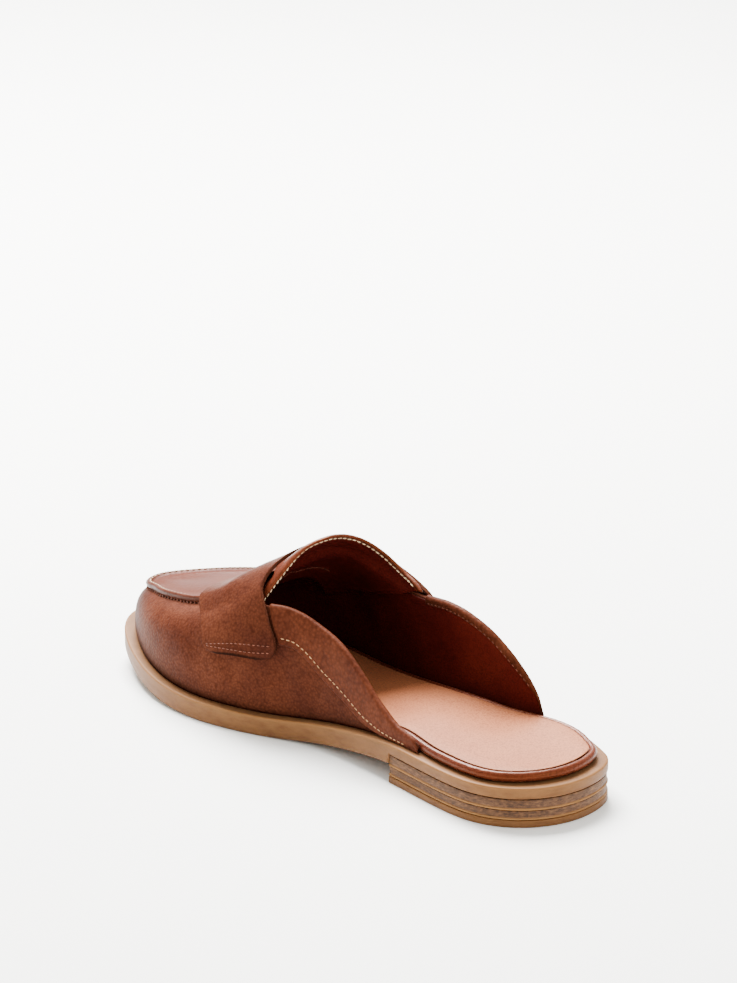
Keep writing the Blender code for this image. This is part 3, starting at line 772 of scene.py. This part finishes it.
def upper_columns(last, wing, throat, front):
    """(along, side) of each column of the wall, from the medial end round the toe to the lateral end."""
    joined = float(station(0.680))
    toe = np.linspace(joined, 1.0, front + 1)
    columns = []
    for side, tops, start in ((-1, TOPLINE_MEDIAL, 0.60), (1, TOPLINE_LATERAL, 0.54)):
        turn = float(station(start))
        run = np.concatenate([np.linspace(float(station(tops[0][0])), turn, wing + 1)[:-1],
                              np.linspace(turn, joined, throat + 1)[:-1], toe])
        columns += [(t, side) for t in (run if side < 0 else run[::-1])]
    return np.array([c[0] for c in columns]), np.array([float(c[1]) for c in columns])


def wall_thickness(along, side):
    """The upper's leather thins out towards the two ends of the wall."""
    end = np.where(side < 0, TOPLINE_MEDIAL[0][0], TOPLINE_LATERAL[0][0])
    return 1.2 * (0.3 + 0.7 * smooth(end, end + 0.07, along))


def upper_wall(last, name, material, rows, path, drop=0.0):
    """Wall of the upper: path gives, per row, the share of the height and the depth into the wall."""
    t_all, side_all = upper_columns(last, 50, 26, 62)
    columns = len(t_all) - 1

    def place(s, w):
        k = np.round(s * columns).astype(int)
        row = np.round(w * rows).astype(int)
        t = t_all[k]
        side = side_all[k]
        along = (1 - np.cos(math.pi * t)) / 2
        top = np.where(side < 0, last.top[-1](along), last.top[1](along))
        top = np.maximum(top - drop, 0.02)
        share, deep = np.array([path(i) for i in range(rows + 1)])[row].T
        v = np.where((share > 0.999) & (top > 0.995 - drop), 1.0, top * share)
        across = np.where(v >= 1.0, 0.0, side * (1 - v))
        base = last.lifted(across, along, np.zeros(len(s)))
        height = base[:, 2] - last.ledge_z(base[:, 1])
        outside = deep < 0.5
        tuck = 0.55 * np.exp(-(np.maximum(height, 0) / 1.3) ** 2) * outside
        sink = crease_depth(last, across, along) * smooth(0.0, 0.1, top)
        ends = smooth(0.0, 0.02, top - 0.02)
        points = last.lifted(across, along, -(tuck + sink) * ends - deep * wall_thickness(along, side))
        points[:, 2] = np.maximum(points[:, 2], last.ledge_z(points[:, 1]) + 0.12)
        # Darker towards the sole: partly burnished leather, partly painted shade along the foot line; a little darker
        # still low on the toe.
        tint = 0.95 * np.exp(-(np.maximum(height, 0) / 5.5) ** 1.2)
        tint += 0.30 * smooth(0.55, 1.0, along) * smooth(30, 4, height)
        return points, np.clip(tint, 0, 1)

    return mapped_grid(name, columns, rows, place, material, (0.5, 0.1), None)


class LOAFER_OT_upper(bpy.types.Operator):
    """Outer leather of the upper with its creases, and the lining inside it"""
    bl_idname = "loafer.upper"
    bl_label = "Upper and lining"

    def execute(self, context):
        last, finish = pieces(context)

        def outer(row):
            if row <= 46:
                return (row / 46) ** 1.25, 0.0
            if row <= 50:
                return 1.0, (row - 46) / 4
            return (1 - (row - 50) / 14) ** 1.25, 1.0

        wall_of = upper_wall(last, "upper_leather_wall", finish["burnished_cowhide"], 64, outer)
        dress(wall_of, "upper_leather", "upper")

        def inner(row):
            if row <= 40:
                return (row / 40) ** 1.25, 1.12
            if row <= 42:
                return 1.0, 1.12 + (row - 40) * 0.2
            return (1 - (row - 42) / 14) ** 1.25, 1.52

        lining = upper_wall(last, "upper_lining", finish["dyed_lining_calf"], 56, inner, 0.008)
        dress(lining, "upper_leather")
        return {"FINISHED"}


# Cross-section of the moccasin seam: mm inwards from the edge, lift in mm, tint. The tint darkens the outer face down
# to the seam and paints shade in the valley inside the crest.
APRON_RIDGE = (
    (0.35, -0.30, 1.0), (0.30, 0.15, 1.0), (0.10, 0.50, 1.0), (0.00, 1.00, 1.0), (0.02, 1.60, 1.0),
    (0.15, 2.15, 1.0), (0.45, 2.60, 0.9), (0.95, 2.80, 0.5), (1.45, 2.72, 0.2), (1.90, 2.35, 0.5),
    (2.25, 1.90, 0.7), (2.60, 1.45, 0.8), (3.10, 1.15, 0.5), (4.00, 1.00, 0.2), (5.50, 0.95, 0.0),
)


class LOAFER_OT_apron(bpy.types.Operator):
    """Apron plug with its raised moccasin seam and both rows of thread"""
    bl_idname = "loafer.apron"
    bl_label = "Apron"

    def execute(self, context):
        last, finish = pieces(context)
        t_side = np.linspace(float(station(APRON_BACK)), 1.0, 90)
        t_all = np.concatenate([t_side, t_side[::-1]])
        side_all = np.concatenate([-np.ones(90), np.ones(90)])
        inner = 14
        rows = len(APRON_RIDGE) - 1 + inner
        columns = len(t_all) - 1
        edge_of = table(APRON_EDGE, 1)

        def place(s, w):
            k = np.round(s * columns).astype(int)
            row = np.round(w * rows).astype(int)
            t = t_all[k]
            side = side_all[k]
            along = (1 - np.cos(math.pi * t)) / 2
            edge = edge_of(along)
            speed = last.frame_at(side * (1 - edge), along)[3]
            under = smooth(0.77, 0.74, along)
            profile = np.array(APRON_RIDGE)
            index = np.minimum(row, len(APRON_RIDGE) - 1)
            reach = profile[index, 0] + APRON_TURN_IN * (side < 0) * smooth(0.99, 0.93, along)
            lift = profile[index, 1]
            bank = np.where(side < 0, 0.30, -0.15) * smooth(1.0, 0.97, along)
            lift = lift + np.maximum(lift - 1.6, 0) * bank * (row < len(APRON_RIDGE) - 1)
            lift = lift - np.maximum(lift - 2.2, 0) * under
            tint = profile[index, 2]
            rim = edge + reach / speed
            inwards = np.clip((row - len(APRON_RIDGE) + 1) / inner, 0, 1)
            v = rim + (1 - rim) * inwards
            crown = 0.35 * np.sin(inwards * math.pi / 2)
            across = np.where(v >= 0.9999, 0.0, side * (1 - v))
            sink = crease_depth(last, across, along) * (inwards > 0)
            return last.lifted(across, along, lift + crown - sink), tint

        piece = mapped_grid("apron_plug", columns, rows, place, finish["glazed_cowhide"], (0.25, 0.05), True)
        self.relax(piece, columns, rows)
        wall(piece, 0.7)
        dress(piece, "upper_leather", "apron")
        shown = t_all[(1 - np.cos(math.pi * t_all)) / 2 > 0.70]
        sides = side_all[(1 - np.cos(math.pi * t_all)) / 2 > 0.70]
        along = (1 - np.cos(math.pi * shown)) / 2
        for name, reach, lift, spacing, size, thread_name, cross, slant in (
                ("apron_topstitch", 2.0, 2.35, 2.6, (1.5, 0.6, 0.5), "cream_thread", False, 0.0),
                ("apron_whipstitch", -0.20, 0.35, 2.5, (1.9, 0.6, 0.8), "tan_thread", True, 0.5)):
            speed = last.frame_at(sides * (1 - edge_of(along)), along)[3]
            reach = reach + APRON_TURN_IN * (sides < 0) * smooth(0.99, 0.93, along)
            v = edge_of(along) + reach / speed
            across = sides * (1 - v)
            frame_now = last.frame_at(across, along)
            points = last.lifted(across, along, np.full(len(along), lift))
            normal = unit(frame_now[1] + (0.8 if lift > 1 else -0.8) * frame_now[2])
            stitch_row(name, points, normal, spacing, size, finish[thread_name], "upper_leather", slant, cross)
        return {"FINISHED"}

    @staticmethod
    def relax(piece, columns, rows):
        """Evens out the middle of the plug, where the last's sections meet."""
        work = bmesh.new()
        work.from_mesh(piece.data)
        places = work.loops.layers.uv["UVMap"]
        middle = [vert for vert in work.verts
                  if all(loop[places].uv[1] > 0.05 * 0.66 for loop in vert.link_loops)]
        for _ in range(25):
            bmesh.ops.smooth_vert(work, verts=middle, factor=0.5, use_axis_x=True, use_axis_y=True, use_axis_z=True)
        work.to_mesh(piece.data)
        work.free()


def strap_lift(across, along):
    edge = 1 - table(APRON_EDGE, 1)(along)
    over = 1 - smooth(edge - 0.04, edge + 0.16, np.abs(across))
    before = smooth(APRON_BACK - 0.06, APRON_BACK + 0.005, along)
    return 0.75 + 0.35 * smooth(0.60, 0.74, np.abs(across)) + (2.2 + 1.0 * smooth(0.0, -0.3, across)) * over * before


def swell(across, share):
    """Soft fullness of the strap between its edges, in mm."""
    full = 0.35 * np.abs(np.sin(math.pi * share)) ** 0.7
    return full + 0.12 * np.sin(share * 7 + across * 9) * np.sin(math.pi * share) ** 2


class LOAFER_OT_strap(bpy.types.Operator):
    """Saddle strap over the instep with its stitched tabs"""
    bl_idname = "loafer.strap"
    bl_label = "Strap"

    def execute(self, context):
        last, finish = pieces(context)
        front = table(STRAP, 1)
        back = table(STRAP, 2)
        columns, rows = 190, 44

        def corner(across):
            """Rounds the corners of each tab."""
            low, high = STRAP[0][0], STRAP[-1][0]
            near = np.minimum(across - low, high - across)
            return 0.5 * (1 - np.sqrt(np.clip(1 - (1 - np.clip(near / 0.05, 0, 1)) ** 2, 0, 1)))

        def place(s, w):
            across = STRAP[0][0] + (STRAP[-1][0] - STRAP[0][0]) * s
            tuck = corner(across) * 0.10
            share = tuck + (1 - 2 * tuck) * w
            along = back(across) + (front(across) - back(across)) * share
            rim = np.minimum(w, 1 - w)
            lift = strap_lift(across, along) + 1.5 + swell(across, w)
            tab = np.minimum(across - STRAP[0][0], STRAP[-1][0] - across)
            # Painted shade along the strap's edges and a painted contact shadow at the tab ends, where they meet the
            # vamp; the tabs a little darker.
            tint = np.maximum(smooth(0.03, 0.0, rim) * 0.6, smooth(0.016, 0.004, tab))
            tint = tint + 0.25 * smooth(0.55, 0.8, np.abs(across))
            return last.lifted(across, along, lift), np.clip(tint, 0, 1)

        piece = mapped_grid("strap_saddle", columns, rows, place, finish["burnished_cowhide"], (0.2, 0.045), True)
        piece.data.materials.append(finish["raw_cut_edge"])
        wall(piece, 1.5).material_offset_rim = 1
        rounded(piece, 0.3)
        dress(piece, "upper_leather", "strap")
        for side in (-1, 1):
            for k, (near, bow, turn) in enumerate(((0.730, 0.0, 0.012), (0.756, 0.018, -0.008))):
                steps = np.linspace(0.06, 0.94, 60)
                across = side * (near + bow * np.sin(steps * math.pi) + turn * steps)
                along = back(across) + (front(across) - back(across)) * steps
                lift = strap_lift(across, along) + 1.5 + swell(across, steps) + 0.12
                points = last.lifted(across, along, lift)
                normal = last.frame_at(across, along)[1]
                name = f"strap_stitch_{'medial' if side < 0 else 'lateral'}_{k + 1}"
                stitch_row(name, points, normal, 2.1, (1.5, 0.4, 0.4), finish["tan_thread"], "upper_leather")
        return {"FINISHED"}


# Cross-section of the tongue's rim: share of the way in from the free edge, lift, mm backwards
TONGUE_RIM = (
    (0.075, -1.30, 0.0), (0.035, -1.45, 0.0), (0.010, -1.45, 0.0), (0.0, -1.35, 0.35), (0.0, -1.10, 0.7),
    (0.0, -0.70, 0.95), (0.0, -0.30, 0.8), (0.0, -0.05, 0.4), (0.010, 0.05, 0.0), (0.035, 0.0, 0.0),
)


class LOAFER_OT_tongue(bpy.types.Operator):
    """Tongue with its folded rim, its lining and the cream topstitch"""
    bl_idname = "loafer.tongue"
    bl_label = "Tongue"

    def spot(self, last, s, share):
        """Place and lift of the tongue's outer face; share runs from the free edge to the front."""
        start = TONGUE[0][0] + (TONGUE[-1][0] - TONGUE[0][0]) * s
        edge = table(TONGUE, 1)(start)
        along = edge + (TONGUE_FRONT - edge) * share
        across = start + TONGUE_SPREAD * s ** 4 * np.sin(share * math.pi / 2)
        ahead = along + THROAT_MARGIN
        top = np.where(across < 0, last.top[-1](ahead), last.top[1](ahead))
        tucked = -0.3 - (TONGUE_TUCK - 0.3) * (1 - smooth(top - 0.03, top + 0.05, 1 - np.abs(across)))
        standing = 1 - smooth(0.0, TONGUE_STAND, along - edge)
        tucked = tucked + 1.2 * np.exp(-((along - edge - 0.045) / 0.03) ** 2) * (1 - smooth(0.25, 0.5, np.abs(across)))
        return across, along, tucked + (table(TONGUE, 2)(start) - tucked) * standing

    def execute(self, context):
        last, finish = pieces(context)
        outer = 40
        rows = len(TONGUE_RIM) - 1 + outer
        rim = np.array(TONGUE_RIM)

        def place(s, w):
            row = np.round(w * rows).astype(int)
            index = np.minimum(row, len(rim) - 1)
            inwards = np.clip((row - len(rim) + 1) / outer, 0, 1) ** 1.3
            share = rim[index, 0] + (1 - rim[index, 0]) * inwards
            across, along, lift = self.spot(last, s, share)
            points = last.lifted(across, along, lift + rim[index, 1] * (1 - smooth(0, 0.2, inwards)))
            points[:, 1] -= rim[index, 2]
            # Painted shade on the underside of the folded rim.
            return points, 0.5 * smooth(0.1, 0.0, inwards) * (rim[index, 1] < -1.2)

        piece = mapped_grid("tongue_leather", 140, rows, place, finish["waxed_wrap_cowhide"], (0.1, 0.08), True)
        wall(piece, 0.45)
        dress(piece, "upper_leather", "tongue")

        def inside(s, w):
            across, along, lift = self.spot(last, s, 0.03 + 0.97 * w ** 1.3)
            # Painted shade, deeper towards the front inside the shoe.
            return last.lifted(across, along, lift - 1.15), 0.2 * smooth(0.2, 0.7, w)

        lining = mapped_grid("tongue_lining", 110, 44, inside, finish["dyed_lining_calf"], (0.1, 0.08), True)
        wall(lining, 0.4)
        dress(lining, "upper_leather")
        steps = np.linspace(0.03, 0.985, 260)
        inner = smooth(0.25, 0.50, steps)
        across, along, level = self.spot(last, steps, 0.026 * inner)
        points = last.lifted(across, along, level - 1.25 - 0.43 * inner)
        points[:, 1] -= 0.75 * (1 - inner)
        normal = -last.frame_at(across, along)[1] - np.array([0.0, 1.2, 0.0]) * (1 - inner)[:, None]
        stitch_row("tongue_topstitch", points, unit(normal), 2.3, (2.05, 0.6, 0.55), finish["cream_thread"],
                   "upper_leather")
        steps = np.linspace(0.12, 0.80, 120)
        across, along, level = self.spot(last, steps, 0.62 + 0.15 * steps)
        points = last.lifted(across, along, level - 1.6)
        normal = -last.frame_at(across, along)[1]
        stitch_row("tongue_lining_seam", points, normal, 1.5, (1.45, 0.4, 0.3), finish["tan_thread"], "upper_leather")
        return {"FINISHED"}


# Cross-section of a collar: share of the band from its lower edge, lift, mm past the topline, tint. The tint paints a
# shadow along the folded lower edge and shade down the inner flap inside the shoe.
COLLAR_PATH = (
    (0.00, 0.05, 0.0, 1.0), (-0.01, 0.60, 0.0, 1.0), (0.01, 1.05, 0.0, 0.6), (0.05, 1.20, 0.0, 0.1),
    (0.15, 0.95, 0.0, 0.0), (0.30, 1.10, 0.0, 0.0), (0.45, 1.22, 0.0, 0.0), (0.60, 1.28, 0.0, 0.0),
    (0.75, 1.25, 0.0, 0.0), (0.88, 1.15, 0.0, 0.0), (0.96, 1.05, 0.0, 0.0), (1.00, 0.95, 0.10, 0.0),
    (1.00, 0.70, 0.60, 0.0), (1.00, 0.20, 1.00, 0.0), (1.00, -0.45, 1.15, 0.0), (1.00, -1.20, 1.00, 0.0),
    (1.00, -1.75, 0.60, 0.1), (1.00, -2.05, 0.0, 0.3), (1.00, -2.15, -0.7, 0.45), (1.00, -2.20, -1.4, 0.45),
    (1.00, -2.22, -2.1, 0.55), (1.00, -2.10, -2.5, 0.9), (1.00, -1.90, -2.6, 1.0),
)


class LOAFER_OT_collars(bpy.types.Operator):
    """Collar bands rolled over both toplines, with their thread"""
    bl_idname = "loafer.collars"
    bl_label = "Collars"

    def execute(self, context):
        last, finish = pieces(context)
        strap_back = table(STRAP, 2)
        for side, name, reach in ((-1, "medial", 0.56), (1, "lateral", 0.44)):
            start = (TOPLINE_MEDIAL if side < 0 else TOPLINE_LATERAL)[0][0]

            def spot(s, share, lift, past):
                low_end = last.low[side](reach)
                height = low_end + (last.top[side](reach) - low_end) * share
                end = strap_back(side * (1 - height)) - 0.8 / last.length
                along = start + (end - start) * s
                low = last.low[side](along)
                top = np.maximum(last.top[side](along), 0.03) * smooth(-0.04, 0.05, s)
                v = low + (top - low) * share
                thin = wall_thickness(along, side) / 1.2
                lift = np.where(lift > 0, lift * (0.5 + 0.5 * thin), lift * thin)
                past = past * np.where(past < 0, smooth(0.02, 0.14, s), 0.4 + 0.6 * smooth(0.0, 0.1, s))
                return side * (1 - v), along, lift, past

            def place(s, w):
                path = np.array(COLLAR_PATH)
                row = np.round(w * (len(path) - 1)).astype(int)
                across, along, lift, past = spot(s, path[row, 0], path[row, 1], path[row, 2])
                points = last.lifted(across, along, lift, past)
                points[:, 2] = np.maximum(points[:, 2], last.ledge_z(points[:, 1]) + 0.15)
                return points, path[row, 3]

            piece = mapped_grid(f"collar_band_{name}", 150, len(COLLAR_PATH) - 1, place,
                                finish["pebbled_cowhide"], (0.1, 0.02), None)
            self.face_out(piece)
            wall(piece, 0.35)
            dress(piece, "collar_leather", f"collar_{name}")
            steps = np.linspace(0.10, 0.985, 240)
            ones = np.ones(len(steps))
            for label, share, lift, past, size, thread_name in (
                    ("low", 0.17, 1.02, 0.0, (1.85, 0.5, 0.45), "waxed_tan_thread"),
                    ("inner", 1.0, -2.28, -1.7, (1.5, 0.4, 0.35), "tan_thread")):
                across, along, lifts, pasts = spot(steps, share * ones, lift * ones, past * ones)
                points = last.lifted(across, along, lifts, pasts)
                normal = last.frame_at(across, along)[1] * (1 if lift > 0 else -1)
                stitch_row(f"collar_stitch_{name}_{label}", points, normal, 2.5, size, finish[thread_name],
                           "collar_leather")
        return {"FINISHED"}

    @staticmethod
    def face_out(piece):
        """Turns the sheet so that its outer band faces away from the shoe's middle."""
        mesh = piece.data
        widest = max(mesh.polygons, key=lambda p: abs(p.center.x))
        if widest.normal.x * widest.center.x < 0:
            mesh.flip_normals()


class LOAFER_OT_stage(bpy.types.Operator):
    """Pale floor, soft light and the camera"""
    bl_idname = "loafer.stage"
    bl_label = "Stage"

    def execute(self, context):
        self.floor()
        self.light("top_softbox", (0.40, 0.75, 1.20), (0.0, 0.0, 0.03), (0.9, 0.9), 190.0)
        self.light("side_softbox", (-1.3, 0.75, 0.55), (0.0, 0.03, 0.03), (0.5, 0.7), 2.0)
        self.light("back_fill", (-0.15, -1.7, 0.60), (0.0, 0.04, 0.05), (0.7, 0.5), 14.0)
        self.world()
        self.camera()
        return {"FINISHED"}

    def floor(self):
        work = bmesh.new()
        bmesh.ops.create_grid(work, x_segments=1, y_segments=1, size=6.0)
        mesh = bpy.data.meshes.new("floor")
        work.to_mesh(mesh)
        work.free()
        floor = bpy.data.objects.new("floor", mesh)
        bpy.context.scene.collection.objects.link(floor)
        made, tree, shader = new_material("painted_floor")
        place = add(tree, "ShaderNodeTexCoord").outputs["Object"]
        haze = add(tree, "ShaderNodeTexNoise", {"Scale": 3.0, "Detail": 2.0}, {"Vector": place})
        tone = ramp(tree, haze.outputs["Fac"], ((0.3, "#F3F2EE"), (0.7, "#F6F5F1")))
        tree.links.new(tone.outputs["Color"], shader.inputs["Base Color"])
        shader.inputs["Roughness"].default_value = 0.9
        shader.inputs["Specular IOR Level"].default_value = 0.1
        floor.data.materials.append(made)

    def light(self, name, place, target, size, power):
        lamp = bpy.data.lights.new(name, "AREA")
        lamp.shape = "RECTANGLE"
        lamp.size, lamp.size_y = size
        lamp.energy = power
        holder = bpy.data.objects.new(name, lamp)
        holder.location = place
        holder.rotation_euler = (Vector(target) - Vector(place)).to_track_quat("-Z", "Y").to_euler()
        bpy.context.scene.collection.objects.link(holder)

    def world(self):
        world = bpy.data.worlds.new("studio")
        world.use_nodes = True
        tree = world.node_tree
        background = tree.nodes["Background"]
        way = add(tree, "ShaderNodeTexCoord").outputs["Generated"]
        height = add(tree, "ShaderNodeSeparateXYZ", links={"Vector": way})
        level = add(tree, "ShaderNodeMapRange", {"interpolation_type": "SMOOTHSTEP", "From Min": 0.0, "From Max": 0.75,
                                                 "To Min": 0.20, "To Max": 1.9}, {"Value": height.outputs["Z"]})
        background.inputs["Color"].default_value = linear("#F6F7F4")
        tree.links.new(level.outputs["Result"], background.inputs["Strength"])
        bpy.context.scene.world = world

    def camera(self):
        """The photo's viewpoint: behind the medial side, a little above."""
        lens = bpy.data.cameras.new("camera")
        lens.sensor_fit = "VERTICAL"
        lens.sensor_height = 36.0
        lens.lens = 4748.0 * 36.0 / PHOTO_HEIGHT
        lens.clip_end = 20.0
        camera = bpy.data.objects.new("camera", lens)
        place = Vector((-1.32454, -1.26981, 0.80270))
        aim = Vector((0.02849, 0.02161, 0.09168))
        camera.location = place
        camera.rotation_euler = (aim - place).to_track_quat("-Z", "Y").to_euler()
        bpy.context.scene.collection.objects.link(camera)
        bpy.context.scene.camera = camera


class LOAFER_PT_panel(bpy.types.Panel):
    """Lists the pieces of the shoe"""
    bl_idname = "LOAFER_PT_panel"
    bl_label = "Loafer Mule"
    bl_space_type = "VIEW_3D"
    bl_region_type = "UI"
    bl_category = "Loafer Mule"

    def draw(self, context):
        for operator in STEPS:
            self.layout.operator(operator.bl_idname)
        for group in (context.scene.loafer_sizes, context.scene.loafer_looks):
            for name in group.bl_rna.properties.keys():
                if name not in ("rna_type", "name"):
                    self.layout.prop(group, name)


STEPS = (LOAFER_OT_sole, LOAFER_OT_footbed, LOAFER_OT_upper, LOAFER_OT_apron, LOAFER_OT_strap,
         LOAFER_OT_tongue, LOAFER_OT_collars, LOAFER_OT_stage)
CLASSES = (LoaferSizes, LoaferLooks, *STEPS, LOAFER_PT_panel)


def register():
    for made in CLASSES:
        bpy.utils.register_class(made)
    bpy.types.Scene.loafer_sizes = PointerProperty(type=LoaferSizes)
    bpy.types.Scene.loafer_looks = PointerProperty(type=LoaferLooks)


def unregister():
    del bpy.types.Scene.loafer_sizes
    del bpy.types.Scene.loafer_looks
    for made in reversed(CLASSES):
        bpy.utils.unregister_class(made)


def main():
    register()
    bpy.ops.loafer.sole()
    bpy.ops.loafer.footbed()
    bpy.ops.loafer.upper()
    bpy.ops.loafer.apron()
    bpy.ops.loafer.strap()
    bpy.ops.loafer.tongue()
    bpy.ops.loafer.collars()
    bpy.ops.loafer.stage()


if __name__ == "__main__":
    main()
